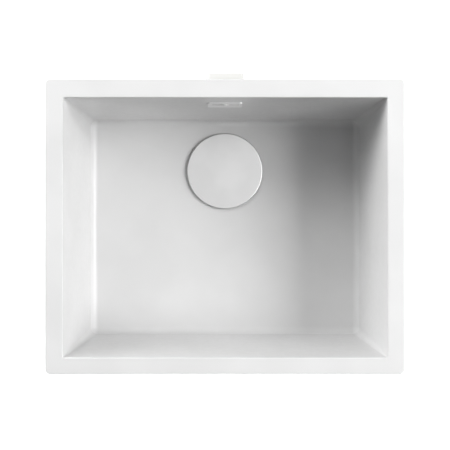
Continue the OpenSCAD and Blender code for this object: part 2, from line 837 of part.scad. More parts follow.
module basket_rivet() {
    color("#b9bbbb") at_waste() translate([0, 0, z_basket - clip_t - rivet_head_h]) {
        cylinder(d = rivet_d, h = rivet_head_h + clip_t + basket_sheet + rivet_grip);
        cylinder(d = rivet_head_d, h = rivet_head_h);
    }
}

// The pressed cover: a level disc with a round edge and a short skirt
module cover_plate() {
    r = cover_r;
    in = r - cover_sheet;
    bend = cover_edge_r;
    color("#d2d2d0") turned(concat(
        [[0, z_cover_top]],
        arc(r - bend, z_cover_top - bend, bend, 90, 0),
        [[r, z_cover_edge], [in, z_cover_edge]],
        arc(r - bend, z_cover_top - bend, bend - cover_sheet, 0, 90, 4),
        [[0, z_cover_in]]
    ));
}

// Puts children at the three feet
module at_feet() {
    at_waste() for (i = [0:2]) rotate(90 + i * 120) translate([foot_ring_r, 0, 0]) children();
}

// The moulded frame under the cover: a hub over the knob and an arm to each foot
module cover_carrier() {
    color("#8f9292") difference() {
        union() {
            at_waste() translate([0, 0, z_hub]) cylinder(r = hub_r, h = z_cover_in - z_hub);
            at_waste() for (i = [0:2]) rotate(90 + i * 120)
                translate([0, -arm_w / 2, z_cover_in - arm_t]) cube([foot_ring_r, arm_w, arm_t]);
            at_feet() translate([0, 0, z_cover_in - arm_t]) cylinder(d = foot_pad_d + 1, h = arm_t);
            at_feet() translate([0, 0, z_sump + foot_pad_h])
                cylinder(d = foot_pad_d, h = z_cover_in - z_sump - foot_pad_h);
        }
        at_waste() translate([0, 0, z_hub - over])
            cylinder(d = knob_d + 4 * seat_gap, h = hub_socket + over);
        at_feet() translate([0, 0, z_sump + foot_pad_h - over])
            cylinder(d = foot_stem_d + 2 * fit_gap, h = foot_stem_h + over + fit_gap);
    }
}

module cover_feet() {
    color("#2b2b2b") at_feet() {
        translate([0, 0, z_sump]) cylinder(d = foot_pad_d, h = foot_pad_h);
        translate([0, 0, z_sump + foot_pad_h - 0.5]) cylinder(d = foot_stem_d, h = foot_stem_h + 0.5);
    }
}

basin();
rim_inserts();
strainer_cup();
cup_gasket();
waste_gasket();
waste_body();
clamp_screw();
clamp_nut();
overflow_trim();
overflow_screw();
overflow_gasket();
overflow_elbow();
elbow_insert();
overflow_hose();
hose_nuts();
hose_seals();
strainer_basket();
basket_seal();
basket_knob();
basket_clip();
basket_rivet();
cover_plate();
cover_carrier();
cover_feet();
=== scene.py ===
"""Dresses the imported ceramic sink: glaze, steel, rubber and moulded plastic over the fixed frame.

Lengths are in metres and the origin is the middle of the rim's outline, in the plane of its top face. Each
sub-assembly is a class. Each new surface is a grid of points worked out with numpy from two parameters, and
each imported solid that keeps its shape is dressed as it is, or as a merged copy with its edges rounded.
"""

from __future__ import annotations

import json
import logging
import math
from dataclasses import astuple, dataclass, replace
from enum import Enum
from functools import cached_property

import bmesh
import bpy
import numpy as np
from bpy.types import ID, Material, Mesh, Node, NodeSocket, NodeTree, Object
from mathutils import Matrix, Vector

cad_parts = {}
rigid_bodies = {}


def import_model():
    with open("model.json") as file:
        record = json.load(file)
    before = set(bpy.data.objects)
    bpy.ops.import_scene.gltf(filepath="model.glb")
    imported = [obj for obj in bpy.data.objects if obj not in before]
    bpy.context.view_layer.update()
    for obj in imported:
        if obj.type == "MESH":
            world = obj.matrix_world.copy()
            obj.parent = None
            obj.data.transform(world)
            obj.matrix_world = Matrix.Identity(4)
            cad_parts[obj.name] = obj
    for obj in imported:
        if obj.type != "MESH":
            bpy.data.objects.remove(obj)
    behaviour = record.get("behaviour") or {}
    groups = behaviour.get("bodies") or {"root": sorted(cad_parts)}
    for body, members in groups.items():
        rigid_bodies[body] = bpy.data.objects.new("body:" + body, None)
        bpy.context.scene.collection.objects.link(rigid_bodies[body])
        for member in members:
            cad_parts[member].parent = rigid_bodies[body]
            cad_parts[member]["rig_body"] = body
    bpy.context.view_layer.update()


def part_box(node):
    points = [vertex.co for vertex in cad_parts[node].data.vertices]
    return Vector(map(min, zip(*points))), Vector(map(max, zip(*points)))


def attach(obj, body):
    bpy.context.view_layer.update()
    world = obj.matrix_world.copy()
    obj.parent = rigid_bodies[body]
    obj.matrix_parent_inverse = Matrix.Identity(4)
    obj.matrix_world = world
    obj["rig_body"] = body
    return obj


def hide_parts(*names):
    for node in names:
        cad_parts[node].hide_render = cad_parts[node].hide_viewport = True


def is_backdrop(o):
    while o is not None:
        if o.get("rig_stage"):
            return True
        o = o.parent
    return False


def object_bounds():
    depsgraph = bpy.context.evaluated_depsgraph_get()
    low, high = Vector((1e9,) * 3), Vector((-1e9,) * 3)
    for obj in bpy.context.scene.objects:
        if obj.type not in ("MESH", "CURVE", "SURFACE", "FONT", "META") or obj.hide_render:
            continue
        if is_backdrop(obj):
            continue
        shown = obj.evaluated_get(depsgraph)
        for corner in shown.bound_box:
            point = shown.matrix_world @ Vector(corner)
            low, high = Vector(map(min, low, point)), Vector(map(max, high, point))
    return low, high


MM = 0.001
SMOOTH_ANGLE = math.radians(35)
FLAT_ANGLE = math.radians(0.2)
MERGE_DISTANCE = 0.002 * MM
# A cut runs this far past the face that it opens.
OVER = 1 * MM
INCH = 25.4 * MM
EDGE_SEGMENTS = 2
MOTTLE_DETAIL = 2.0
GRAIN_DETAIL = 3.0
WHITE = "ffffff"
log = logging.getLogger("sink")


# Colours and materials


def hex_linear(code: str) -> tuple[float, float, float, float]:
    """Turns an sRGB colour such as "e8e6e0" into linear RGBA, by the standard's own curve.

    Args:
        code: Six hexadecimal digits.

    Returns:
        Linear red, green and blue, and an alpha of 1.
    """
    parts = np.array([int(code[i : i + 2], 16) for i in (0, 2, 4)]) / 255
    linear = np.where(parts <= 0.04045, parts / 12.92, ((parts + 0.055) / 1.055) ** 2.4)
    return (*map(float, linear), 1.0)


def add_node(
    tree: NodeTree, kind: str, values: dict | None = None, links: dict | None = None, **settings: object
) -> Node:
    """Adds one shader node with its settings, socket values and incoming links.

    Args:
        tree: The tree that gets the node.
        kind: The node's type name.
        values: Socket name or number to default value.
        links: Socket name or number to the output socket that feeds it.
        settings: Attributes of the node itself.

    Returns:
        The new node.
    """
    node = tree.nodes.new(kind)
    for name, value in settings.items():
        setattr(node, name, value)
    for name, value in (values or {}).items():
        node.inputs[name].default_value = value
    for name, output in (links or {}).items():
        tree.links.new(output, node.inputs[name])
    return node


@dataclass(frozen=True)
class Finish:
    """What every finish has: two near colours, a roughness and a fine relief, each at a real size.

    Colour drifts between colour and shade over mottle_mm. Roughness and relief follow noise of grain_mm,
    drawn out by stretch along X, Y and Z. relief_mm is the height of the grain, and wave_mm that of a slow
    wave over mottle_mm. slot is the record's material slot that the finish is for; it is not used.
    """

    name: str
    slot: str
    colour: str
    shade: str
    roughness: float
    roughness_spread: float
    grain_mm: float
    relief_mm: float
    metallic: float = 0.0
    ior: float = 1.5
    mottle_mm: float = 60.0
    wave_mm: float = 0.0
    stretch: tuple[float, float, float] = (1.0, 1.0, 1.0)
    tint_band: tuple[float, float] = (0.38, 0.62)
    grain_band: tuple[float, float] = (0.3, 0.7)

    def build(self) -> Material:
        """Builds the node tree, once for all the pieces with this finish.

        Returns:
            The material.
        """
        if self.name in bpy.data.materials:
            return bpy.data.materials[self.name]
        material = bpy.data.materials.new(self.name)
        material.use_nodes = True
        tree = material.node_tree
        tree.nodes.clear()
        place = add_node(tree, "ShaderNodeTexCoord").outputs["Object"]
        drawn = add_node(tree, "ShaderNodeMapping", {"Scale": self.stretch}, {"Vector": place}).outputs[0]
        mottle = self._noise(tree, place, self.mottle_mm, MOTTLE_DETAIL)
        grain = self._noise(tree, drawn, self.grain_mm, GRAIN_DETAIL)
        tint = add_node(tree, "ShaderNodeValToRGB", {}, {"Fac": mottle})
        for end, code, position in zip(tint.color_ramp.elements, (self.shade, self.colour), self.tint_band):
            end.color = hex_linear(code)
            end.position = position
        band = {
            "From Min": self.grain_band[0],
            "From Max": self.grain_band[1],
            "To Min": self.roughness - self.roughness_spread,
            "To Max": self.roughness + self.roughness_spread,
        }
        rough = add_node(tree, "ShaderNodeMapRange", band, {"Value": grain}).outputs["Result"]
        relief = add_node(tree, "ShaderNodeBump", {"Distance": self.relief_mm * MM}, {"Height": grain})
        if self.wave_mm:
            wave = add_node(tree, "ShaderNodeBump", {"Distance": self.wave_mm * MM}, {"Height": mottle})
            tree.links.new(wave.outputs[0], relief.inputs["Normal"])
        values = {"Metallic": self.metallic, "IOR": self.ior}
        links = {"Base Color": tint.outputs["Color"], "Roughness": rough, "Normal": relief.outputs[0]}
        shader = add_node(tree, "ShaderNodeBsdfPrincipled", values, links)
        add_node(tree, "ShaderNodeOutputMaterial", {}, {"Surface": shader.outputs[0]})
        return material

    @staticmethod
    def _noise(tree: NodeTree, place: NodeSocket, size_mm: float, detail: float) -> NodeSocket:
        """Noise whose features are about size_mm across."""
        values = {"Scale": 1 / (size_mm * MM), "Detail": detail}
        return add_node(tree, "ShaderNodeTexNoise", values, {"Vector": place}).outputs["Fac"]


# Fired glaze over fireclay: neutral white with a faint drift, glossy, and slightly wavy like orange peel. Its
# soft mirror of the room is a little weaker than a clear glaze's.
WHITE_GLAZE = Finish(
    "glazed_fireclay", "white_glaze", "dfdfdf", "dbdbdb", 0.22, 0.03, 9.0, 0.012,
    ior=1.42, mottle_mm=110.0, wave_mm=0.2,
)
# Stainless sheet with a bead-blasted, satin face: an even soft sheen with no brush lines.
SATIN_STEEL = Finish(
    "bead_blasted_stainless", "satin_steel", "d2d2d2", "cdcdcd", 0.34, 0.04, 0.6, 0.004, metallic=1.0
)
# Deep-drawn stainless, tumbled bright: soft reflections broken by fine drawing marks down the wall.
DRAWN_STEEL = Finish(
    "drawn_stainless", "drawn_steel", "c4c5c4", "b9bab9", 0.24, 0.05, 1.2, 0.006,
    metallic=1.0, stretch=(1.0, 1.0, 0.2),
)
# Pressed stainless of the trim and its screw, blasted: broad reflections with no image in them.
TRIM_STEEL = Finish(
    "blasted_trim_stainless", "bright_trim", "d4d4d4", "cccccc", 0.55, 0.05, 0.6, 0.002, metallic=1.0
)
# Rolled stainless of screws and rivets: greyer and duller than sheet.
SCREW_STEEL = Finish(
    "rolled_stainless", "screw_steel", "acadac", "9fa09f", 0.32, 0.06, 0.7, 0.01, metallic=1.0
)
# Turned brass, unpolished, a little dull with handling.
TURNED_BRASS = Finish("turned_brass", "turned_brass", "c9a458", "b18c46", 0.34, 0.06, 0.8, 0.01, metallic=1.0)
# Moulded nitrile rubber: nearly black, matt, with a dusty bloom.
BLACK_RUBBER = Finish("moulded_nitrile", "black_rubber", "2a2b2e", "212224", 0.62, 0.08, 0.9, 0.02)
# Moulded polypropylene, dark grey, with the fine matt grain of a spark-eroded mould.
GREY_PLASTIC = Finish("grey_polypropylene", "grey_plastic", "484b4d", "404345", 0.46, 0.06, 0.7, 0.02)
# Moulded polypropylene, natural white, a little waxy.
WHITE_PLASTIC = Finish("white_polypropylene", "white_plastic", "e2e2e0", "dadad7", 0.40, 0.05, 0.8, 0.012)
# Moulded acetal of the cover's carrier: mid grey and slightly slippery.
CARRIER_PLASTIC = Finish("grey_acetal", "carrier_plastic", "8b8e8f", "828586", 0.34, 0.05, 0.8, 0.01)


# Lines and grids of points


def turns(count: int) -> np.ndarray:
    """Equal steps round a full turn, in radians, without the last one, which would meet the first."""
    return np.linspace(0, 2 * math.pi, count, endpoint=False)


def on_circle(angle: np.ndarray) -> np.ndarray:
    """Points of the circle of radius 1: the cosine and the sine of each angle."""
    return np.stack([np.cos(angle), np.sin(angle)], -1)


def fillet(middle: tuple[float, float], radius: float, start: float, end: float, steps: int) -> np.ndarray:
    """A round edge in section: the points middle + radius * (cos, sin) from one angle to another.

    Args:
        middle: The arc's centre, as a distance out and a height.
        radius: The arc's radius.
        start: Its first angle, in degrees from straight out.
        end: Its last angle.
        steps: How many equal steps it is cut into.

    Returns:
        Distances out and heights, steps + 1 by 2.
    """
    angle = np.radians(np.linspace(start, end, steps + 1))
    return np.array(middle) + radius * on_circle(angle)


def rounded_outline(
    side: float, front: float, back: float, corner: float, corner_points: int, side_points: int
) -> np.ndarray:
    """Points round a rounded rectangle: a quarter circle at each corner and even steps along each side.

    Args:
        side: Half its width.
        front: Its front edge in y.
        back: Its back edge in y.
        corner: Its corner radius.
        corner_points: Points in each quarter circle.
        side_points: Points between two quarter circles.

    Returns:
        Points in x and y, in order from the right side's back end.
    """
    turn = np.radians(np.linspace(0, 90, corner_points))
    corners = []
    for quarter, (x, y) in enumerate(((1, 1), (-1, 1), (-1, -1), (1, -1))):
        middle = np.array([x * (side - corner), back - corner if y > 0 else front + corner])
        angle = turn + quarter * math.pi / 2
        corners.append(middle + corner * on_circle(angle))
    steps = np.linspace(0, 1, side_points + 2)[1:-1, None]
    parts = []
    for here, after in zip(corners, corners[1:] + corners[:1]):
        parts += [here, here[-1] + (after[0] - here[-1]) * steps]
    return np.concatenate(parts)


def spun(radius: np.ndarray, height: np.ndarray, angle: np.ndarray, axis_y: float) -> np.ndarray:
    """A surface round an upright axis: x is radius * cos(angle), and y is axis_y + radius * sin(angle).

    Args:
        radius: Radii, rows by 1 or rows by columns.
        height: Heights, rows by 1 or rows by columns.
        angle: Angles in radians, one for each column.
        axis_y: The axis's place in y.

    Returns:
        The points, row by row.
    """
    radius, height, angle = np.broadcast_arrays(radius, height, angle)
    return np.stack([radius * np.cos(angle), axis_y + radius * np.sin(angle), height], -1).reshape(-1, 3)


def grid_faces(rows: int, cols: int, close_rows: bool) -> np.ndarray:
    """Joins a grid of points, whose rows are closed rings, with four-sided faces.

    Args:
        rows: Number of rows.
        cols: Points in a row.
        close_rows: Joins the last row to the first.

    Returns:
        An array of faces, four point numbers each.
    """
    i = np.arange(rows if close_rows else rows - 1)[:, None]
    j = np.arange(cols)
    this_row, next_row = i * cols, (i + 1) % rows * cols
    right = (j + 1) % cols
    corners = [this_row + j, this_row + right, next_row + right, next_row + j]
    return np.stack(corners, -1).reshape(-1, 4)


def prism(section: np.ndarray, low: float, high: float) -> tuple[np.ndarray, list[list[int]]]:
    """A closed bar: a section carried straight from one height to another.

    Args:
        section: Points in x and y.
        low: The lower height.
        high: The upper height.

    Returns:
        Its points, and its faces with the two ends last.
    """
    count = len(section)
    points = np.concatenate([np.column_stack([section, np.full(count, z)]) for z in (low, high)])
    faces = grid_faces(2, count, False).tolist()
    return points, [*faces, list(range(count)), list(range(count, 2 * count))]


# Pieces


def add_object(name: str, data: ID) -> Object:
    """Puts a new object into the scene.

    Args:
        name: The object's name.
        data: Its mesh, lamp or camera.

    Returns:
        The object.
    """
    thing = bpy.data.objects.new(name, data)
    bpy.context.scene.collection.objects.link(thing)
    return thing


def link_mesh(name: str, points: np.ndarray, faces: list[list[int]]) -> Object:
    """Puts points and faces into a new object at the origin, merges doubles and turns the faces outwards.

    Args:
        name: The object's name.
        points: Points in metres, n by 3.
        faces: Faces, as lists of point numbers.

    Returns:
        The new object, shaded smooth by angle.
    """
    mesh = bpy.data.meshes.new(name)
    mesh.from_pydata(points.tolist(), [], faces)
    piece = add_object(name, mesh)
    merge_mesh(mesh)
    shade_by_angle(piece)
    return piece


def merge_mesh(mesh: Mesh, join_flats: bool = False) -> None:
    """Merges doubles and turns the faces outwards.

    Args:
        mesh: The mesh to work on.
        join_flats: Also dissolves the edges inside its flat faces.
    """
    work = bmesh.new()
    work.from_mesh(mesh)
    bmesh.ops.remove_doubles(work, verts=work.verts, dist=MERGE_DISTANCE)
    if join_flats:
        bmesh.ops.dissolve_limit(work, angle_limit=FLAT_ANGLE, verts=work.verts, edges=work.edges)
    bmesh.ops.recalc_face_normals(work, faces=work.faces)
    work.to_mesh(mesh)
    work.free()


def make_piece(name: str, points: np.ndarray, faces: np.ndarray, finish: Finish) -> Object:
    """Makes a new smooth piece with its finish from a grid's points and faces.

    Args:
        name: The piece's name.
        points: Points in metres, n by 3.
        faces: Faces, four point numbers each.
        finish: Its finish.

    Returns:
        The piece.
    """
    piece = link_mesh(name, points, faces.tolist())
    piece.data.materials.append(finish.build())
    return piece


def shade_by_angle(piece: Object) -> None:
    """Shades the piece smooth, with edges sharper than the set angle kept.

    Args:
        piece: The piece to shade.
    """
    mesh = piece.data
    mesh.polygons.foreach_set("use_smooth", np.ones(len(mesh.polygons), bool))
    mesh.set_sharp_from_angle(angle=SMOOTH_ANGLE)
    mesh.update()


def modify(piece: Object, kind: str, **settings: object) -> None:
    """Replaces the piece's mesh with the result of one modifier.

    Args:
        piece: The piece to work on.
        kind: The modifier's type name.
        settings: Its attributes.
    """
    modifier = piece.modifiers.new(kind.lower(), kind)
    for name, value in settings.items():
        setattr(modifier, name, value)
    graph = bpy.context.evaluated_depsgraph_get()
    done = bpy.data.meshes.new_from_object(piece.evaluated_get(graph))
    old = piece.data
    piece.modifiers.clear()
    piece.data = done
    bpy.data.meshes.remove(old)


def cut(piece: Object, cutter: Object) -> None:
    """Takes the cutter's volume out of the piece, and deletes the cutter.

    Args:
        piece: The piece to cut.
        cutter: A closed form.
    """
    modify(piece, "BOOLEAN", object=cutter, operation="DIFFERENCE", solver="EXACT")
    bpy.data.objects.remove(cutter)


class Edge(Enum):
    """How far a making process rounds an edge, in metres."""

    PRESSED = 1.0 * MM
    MOULDED = 0.4 * MM
    RUBBER = 0.35 * MM
    TURNED = 0.2 * MM


def settle(piece: Object, node: str) -> None:
    """Makes a piece stand in for a node.

    Args:
        piece: The piece.
        node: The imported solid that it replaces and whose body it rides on.
    """
    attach(piece, bpy.data.objects[node]["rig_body"])
    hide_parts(node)
    log.info("%s stands in for %s, %d faces", piece.name, node, len(piece.data.polygons))


def merged_copy(node: str, finish: Finish) -> Object:
    """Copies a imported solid, merges its loose triangles and dissolves the edges inside its flat faces.

    Args:
        node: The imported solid.
        finish: The copy's finish.

    Returns:
        The copy.
    """
    piece = add_object(f"{node}_soft", bpy.data.objects[node].data.copy())
    piece.data.materials.clear()
    piece.data.materials.append(finish.build())
    merge_mesh(piece.data, join_flats=True)
    return piece


def shade_flats(piece: Object) -> None:
    """Shades the piece smooth by angle, with its large faces kept flat and the bend left to the small ones.

    Args:
        piece: The piece to shade.
    """
    shade_by_angle(piece)
    modify(piece, "WEIGHTED_NORMAL", keep_sharp=True)


def soften(piece: Object, edge: Edge) -> None:
    """Rounds a piece's sharp edges.

    Args:
        piece: The piece to round.
        edge: The making process, which sets how far.
    """
    by_angle = {"limit_method": "ANGLE", "angle_limit": SMOOTH_ANGLE}
    modify(piece, "BEVEL", width=edge.value, segments=EDGE_SEGMENTS, **by_angle)
    shade_flats(piece)


def softened(node: str, finish: Finish, edge: Edge) -> None:
    """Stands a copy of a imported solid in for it, with its sharp edges rounded.

    Args:
        node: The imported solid.
        finish: The copy's finish.
        edge: The making process.
    """
    piece = merged_copy(node, finish)
    soften(piece, edge)
    settle(piece, node)


def kept(node: str, finish: Finish) -> None:
    """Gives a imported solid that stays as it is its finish.

    Args:
        node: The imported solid.
        finish: Its finish.
    """
    mesh = bpy.data.objects[node].data
    mesh.materials.clear()
    mesh.materials.append(finish.build())
    log.info("%s kept: %s", node, finish.name)


def axis_of(node: str) -> float:
    """The place in y of a round node's upright axis, from its box."""
    low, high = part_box(node)
    return (low.y + high.y) / 2


# The basin


@dataclass(frozen=True)
class BackWall:
    """The back wall's frame, at the overflow: x to the right, y up the wall, z out of it into the bowl."""

    mouth_back: float = 201 * MM
    draft: float = math.radians(2)
    depth: float = 50 * MM

    def place(self, local: np.ndarray) -> np.ndarray:
        """Carries points of the wall's frame to the part's: the wall leans in by the draft below the rim.

        Args:
            local: Points of the wall's frame, n by 3.

        Returns:
            The same points in the part's frame.
        """
        sine, cosine = math.sin(self.draft), math.cos(self.draft)
        foot = self.mouth_back - self.depth * math.tan(self.draft)
        up, out = local[:, 1], local[:, 2]
        y = foot + up * sine - out * cosine
        z = -self.depth + up * cosine + out * sine
        return np.column_stack([local[:, 0], y, z])


@dataclass(frozen=True)
class Ring:
    """One ring of the basin's skin: a rounded rectangle, or a circle round the waste, at a height.

    side, front and back are the rectangle's edges and corner its radius. share moves the ring from the
    rectangle (0) to a circle round the waste of that radius (1). even moves the circle's points from the
    rectangle's directions (0) to equal steps (1).
    """

    side: float
    front: float
    back: float
    corner: float
    z: float
    radius: float = 0.0
    share: float = 0.0
    even: float = 0.0

    def towards(self, other: Ring, share: float) -> Ring:
        """The ring that stands part of the way to another one."""
        mine, theirs = np.array(astuple(self)), np.array(astuple(other))
        return Ring(*(mine + (theirs - mine) * share))


@dataclass(frozen=True)
class Basin:
    """The glazed basin: one closed skin, carried round the bowl from ring to ring.

    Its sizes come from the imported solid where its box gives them, and otherwise repeat the design's own.
    """

    rim_thick: float = 14 * MM
    rim_corner: float = 8 * MM
    rim_edge: float = 2 * MM
    rim_under: float = 1.2 * MM
    under_inset: float = 9 * MM
    mouth_side: float = 253 * MM
    mouth_front: float = -204 * MM
    mouth_back: float = BackWall.mouth_back
    mouth_corner: float = 2.5 * MM
    mouth_edge: float = 1.5 * MM
    draft: float = BackWall.draft
    depth: float = 200 * MM
    foot: float = 12 * MM
    foot_corner: float = 0.6 * MM
    wall: float = 10 * MM
    floor: float = 12 * MM
    root: float = 3 * MM
    fall: float = 2 * MM
    sump: float = 67 * MM
    seat: float = 58 * MM
    seat_depth: float = 4.5 * MM
    hole: float = 45 * MM
    pad: float = 70 * MM
    pad_drop: float = 4 * MM
    turned_edge: float = 1 * MM
    slide: float = 6 * MM
    slot_side: float = 24 * MM
    slot_low: float = -1 * MM
    slot_high: float = 13 * MM
    slot_corner: float = 3 * MM
    insert_hole: float = 4.1 * MM
    insert_body: float = 4 * MM
    insert_depth: float = 9 * MM
    insert_span_x: float = 150 * MM
    insert_span_y: float = 115 * MM
    corner_points: int = 12
    side_points: int = 44
    edge_steps: int = 4
    slide_steps: int = 6
    long_steps: int = 12
    hole_sides: int = 32

    @cached_property
    def rim(self) -> tuple[float, float, float]:
        """The rim's half width and its front and back edges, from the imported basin."""
        low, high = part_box("basin")
        return high.x, low.y, high.y

    @cached_property
    def waste_y(self) -> float:
        """The waste's axis in y."""
        return axis_of("strainer_cup")

    @property
    def z_sump(self) -> float:
        """Height of the level ring round the waste."""
        return -self.depth - self.fall

    @property
    def z_under(self) -> float:
        """Height of the floor's underside."""
        return -self.depth - self.floor

    def _lean(self, z: float) -> float:
        """How far the wall stands out from the mouth at a height: less than nothing below the rim."""
        return z * math.tan(self.draft)

    def _inner(self, out: float, corner: float, z: float) -> Ring:
        """A ring that stands out from the bowl's mouth by a distance."""
        return Ring(self.mouth_side + out, self.mouth_front - out, self.mouth_back + out, corner, z)

    def _circle(self, radius: float, z: float, even: float = 1.0) -> Ring:
        """A ring that is a true circle round the waste."""
        return Ring(0.0, 0.0, 0.0, 0.0, z, radius, 1.0, even)

    def _rim_ring(self, out: float, z: float) -> Ring:
        """A ring that stands out from the rim's outline by a distance, or in where that is negative."""
        side, front, back = self.rim
        return Ring(side + out, front - out, back + out, max(self.rim_corner + out, self.turned_edge), z)

    def _wall_corner(self, z: float) -> float:
        """Radius of the inside upright corners, which grows evenly from the mouth to the foot."""
        share = min(1.0, -z / (self.depth - self.foot))
        return self.mouth_corner + (self.foot + self.foot_corner - self.mouth_corner) * share

    def _bowl(self) -> list[Ring]:
        """The flare of the mouth, the leaning wall, the foot's quarter round and the floor's slow fall.

        Returns:
            Rings from the rim's top face down to the level ring round the waste.
        """
        edge = self.mouth_edge
        rings = []
        for out, z in fillet((edge, -edge), edge, 90, 180, self.slide_steps):
            reach = out + self._lean(z)
            rings.append(self._inner(reach, self.mouth_corner + reach, z))
        z_foot = self.foot - self.depth
        for z in np.linspace(-edge, z_foot, self.long_steps)[1:-1]:
            rings.append(self._inner(self._lean(z), self._wall_corner(z), z))
        base = self._lean(z_foot) - self.foot
        for out, z in fillet((base, z_foot), self.foot, 0, -90, self.long_steps):
            rings.append(self._inner(out, out - base + self.foot_corner, z))
        last = rings[-1]
        for share in np.linspace(0, 1, self.long_steps + 1)[1:]:
            rings.append(replace(last, z=last.z - self.fall * share, radius=self.sump, share=share))
        return rings

    def _waste_hole(self) -> list[Ring]:
        """The level ring, the sunk seat with its softened edges, the hole, and the pad underneath.

        Returns:
            Rings from the level ring down through the hole and out to the floor's underside.
        """
        edge = self.turned_edge
        z_seat = self.z_sump - self.seat_depth
        z_pad = self.z_under - self.pad_drop
        edges = (
            ((self.seat + edge, self.z_sump - edge), 90, 180),
            ((self.seat - edge, z_seat + edge), 0, -90),
            ((self.hole + edge, z_seat - edge), 90, 180),
            ((self.hole + edge, z_pad + edge), 180, 270),
            ((self.pad - edge, z_pad + edge), -90, 0),
            ((self.pad + edge, self.z_under - edge), 180, 90),
        )
        shares = np.linspace(0, 1, self.slide_steps + 1)[1:]
        rings = [self._circle(self.sump - self.slide * s, self.z_sump, s) for s in shares]
        for middle, start, end in edges:
            rings += [self._circle(r, z) for r, z in fillet(middle, edge, start, end, self.edge_steps)]
        return rings

    def _outside(self) -> list[Ring]:
        """The underside of the floor, the outer foot, the outer wall and the fillet under the rim.

        Returns:
            Rings from the pad's edge out and up to the rim's underside.
        """
        side = self.wall / math.cos(self.draft)
        foot = self.foot + self.wall
        z_foot = self.z_under + foot
        base = side + self._lean(z_foot) - foot
        pad = self.pad + self.turned_edge
        flat = replace(self._inner(base, self.foot_corner, self.z_under), radius=pad + self.slide)
        shares = np.linspace(0, 1, self.slide_steps + 1)[1:]
        rings = [self._circle(pad + self.slide * s, self.z_under, 1 - s) for s in shares]
        rings += [replace(flat, share=s) for s in np.linspace(1, 0, self.long_steps + 1)[1:-1]]
        for out, z in fillet((base, z_foot), foot, -90, 0, self.long_steps):
            rings.append(self._inner(out, out - base + self.foot_corner, z))
        z_root = -self.rim_thick - self.root
        top_corner = self.mouth_corner + self.wall
        for s in np.linspace(0, 1, self.long_steps)[1:-1]:
            z = z_foot + (z_root - z_foot) * s
            rings.append(self._inner(side + self._lean(z), foot + (top_corner - foot) * s, z))
        top = side + self._lean(z_root)
        for out, z in fillet((top + self.root, z_root), self.root, 180, 90, self.edge_steps):
            rings.append(self._inner(out, top_corner + out - top, z))
        return rings

    def _rim(self) -> list[Ring]:
        """The rim's underside, its lower and upper outside edges, and its top as far as the mouth.

        Returns:
            Rings from the underside, round the outline and in over the top face.
        """
        under, edge = self.rim_under, self.rim_edge
        rings = [self._rim_ring(-self.under_inset, -self.rim_thick)]
        for out, z in fillet((-under, under - self.rim_thick), under, -90, 0, self.edge_steps):
            rings.append(self._rim_ring(out, z))
        for out, z in fillet((-edge, -edge), edge, 0, 90, self.slide_steps):
            rings.append(self._rim_ring(out, z))
        mouth = self._inner(self.mouth_edge, self.mouth_corner + self.mouth_edge, 0.0)
        last = rings[-1]
        rings += [last.towards(mouth, share) for share in np.linspace(0, 1, self.slide_steps)[1:-1]]
        return rings

    def _outline(self, ring: Ring) -> np.ndarray:
        """Points round a ring's rectangle."""
        counts = self.corner_points, self.side_points
        return rounded_outline(ring.side, ring.front, ring.back, ring.corner, *counts)

    def skin(self) -> tuple[np.ndarray, np.ndarray]:
        """The whole skin as a grid: one row for each ring, one column for each point round it.

        A ring's points are (1 - share) times the rectangle plus share times the circle. The circle's angles
        go from the directions of the bowl's foot, seen from the waste, to equal steps.

        Returns:
            Points and faces.
        """
        base = self._lean(self.foot - self.depth) - self.foot
        square = self._outline(self._inner(base, self.foot_corner, 0.0))
        mapped = np.unwrap(np.arctan2(square[:, 1] - self.waste_y, square[:, 0]))
        even = mapped.mean() + np.linspace(-math.pi, math.pi, len(mapped), endpoint=False)
        even += (mapped - even).mean()
        rows = []
        for ring in (*self._bowl(), *self._waste_hole(), *self._outside(), *self._rim()):
            xy = np.zeros((len(mapped), 2))
            if ring.share < 1:
                xy += (1 - ring.share) * self._outline(ring)
            if ring.share > 0:
                angle = mapped + ring.even * (even - mapped)
                xy += ring.share * (ring.radius * on_circle(angle) + (0.0, self.waste_y))
            rows.append(np.column_stack([xy, np.full(len(xy), ring.z)]))
        return np.concatenate(rows), grid_faces(len(rows), len(mapped), True)

    def build(self) -> None:
        """Makes the basin, cuts the slot and the inserts' holes, and stands it in for the solid."""
        points, faces = self.skin()
        piece = make_piece("basin_glazed", points, faces, WHITE_GLAZE)
        cut(piece, self._slot_cutter())
        cut(piece, self._insert_cutter())
        shade_flats(piece)
        kept("rim_inserts", TURNED_BRASS)
        settle(piece, "basin")

    def _slot_cutter(self) -> Object:
        """A rounded bar through the back wall, square to it, at the overflow's height.

        Returns:
            The bar.
        """
        section = rounded_outline(
            self.slot_side, self.slot_low, self.slot_high, self.slot_corner, self.slide_steps, 0
        )
        # It starts one wall's thickness behind the outer face.
        points, faces = prism(section, -2 * self.wall, self.wall)
        return link_mesh("slot_cutter", BackWall(self.mouth_back, self.draft).place(points), faces)

    def _insert_cutter(self) -> Object:
        """The round holes for the threaded inserts, as cylinders that start below the rim.

        Returns:
            All the cylinders as one form.
        """
        circle = self.insert_hole * on_circle(turns(self.hole_sides))
        low, high = -self.rim_thick - OVER, -self.rim_thick + self.insert_depth
        points, faces = [], []
        for place in self._insert_places():
            bar, sides = prism(circle + place, low, high)
            first = len(points) * len(bar)
            points.append(bar)
            faces += [[first + number for number in face] for face in sides]
        return link_mesh("insert_cutter", np.concatenate(points), faces)

    def _insert_places(self) -> list[tuple[float, float]]:
        """The middles of the inserts: two on each side of the rim.

        Returns:
            Places in x and y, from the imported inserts' box and the design's own spans.
        """
        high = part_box("rim_inserts")[1]
        far_x, far_y = high.x - self.insert_body, high.y - self.insert_body
        spots = ((self.insert_span_x, far_y), (far_x, self.insert_span_y))
        return [(i * x, j * y) for i in (-1, 1) for j in (-1, 1) for x, y in spots]


# The overflow


